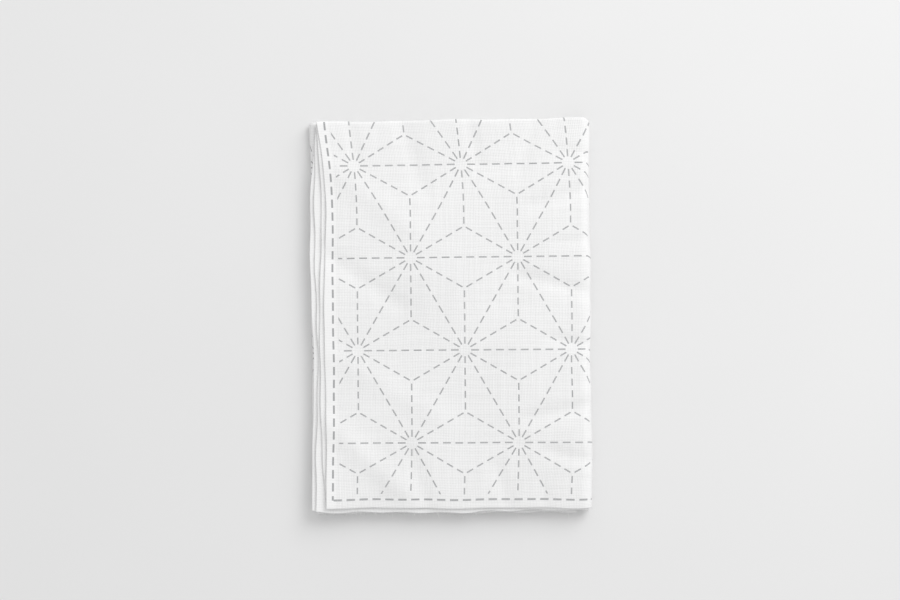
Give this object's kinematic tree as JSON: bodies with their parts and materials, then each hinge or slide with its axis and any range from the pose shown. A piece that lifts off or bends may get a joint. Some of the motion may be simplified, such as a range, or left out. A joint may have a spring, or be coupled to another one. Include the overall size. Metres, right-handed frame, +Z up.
{
  "type": "folded length of printed sashiko cotton",
  "caption": "Length of white plain-weave cotton with a dashed stitching guide, folded flat in thirds with a rounded spine and free selvedges on top.",
  "frame": {"origin": "middle of the folded cloth's footprint, on the surface that it lies on", "axes": "+X across the folded cloth to its rounded spine, +Y along the folds, +Z up through the layers"},
  "size_m": [0.1175, 0.1654, 0.0086],
  "materials": {
    "cotton": "matt bleached plain weave with a pale grey printed guide"
  },
  "bodies": {
    "root": {"folded_cloth": "cotton"}
  },
  "joints": []
}
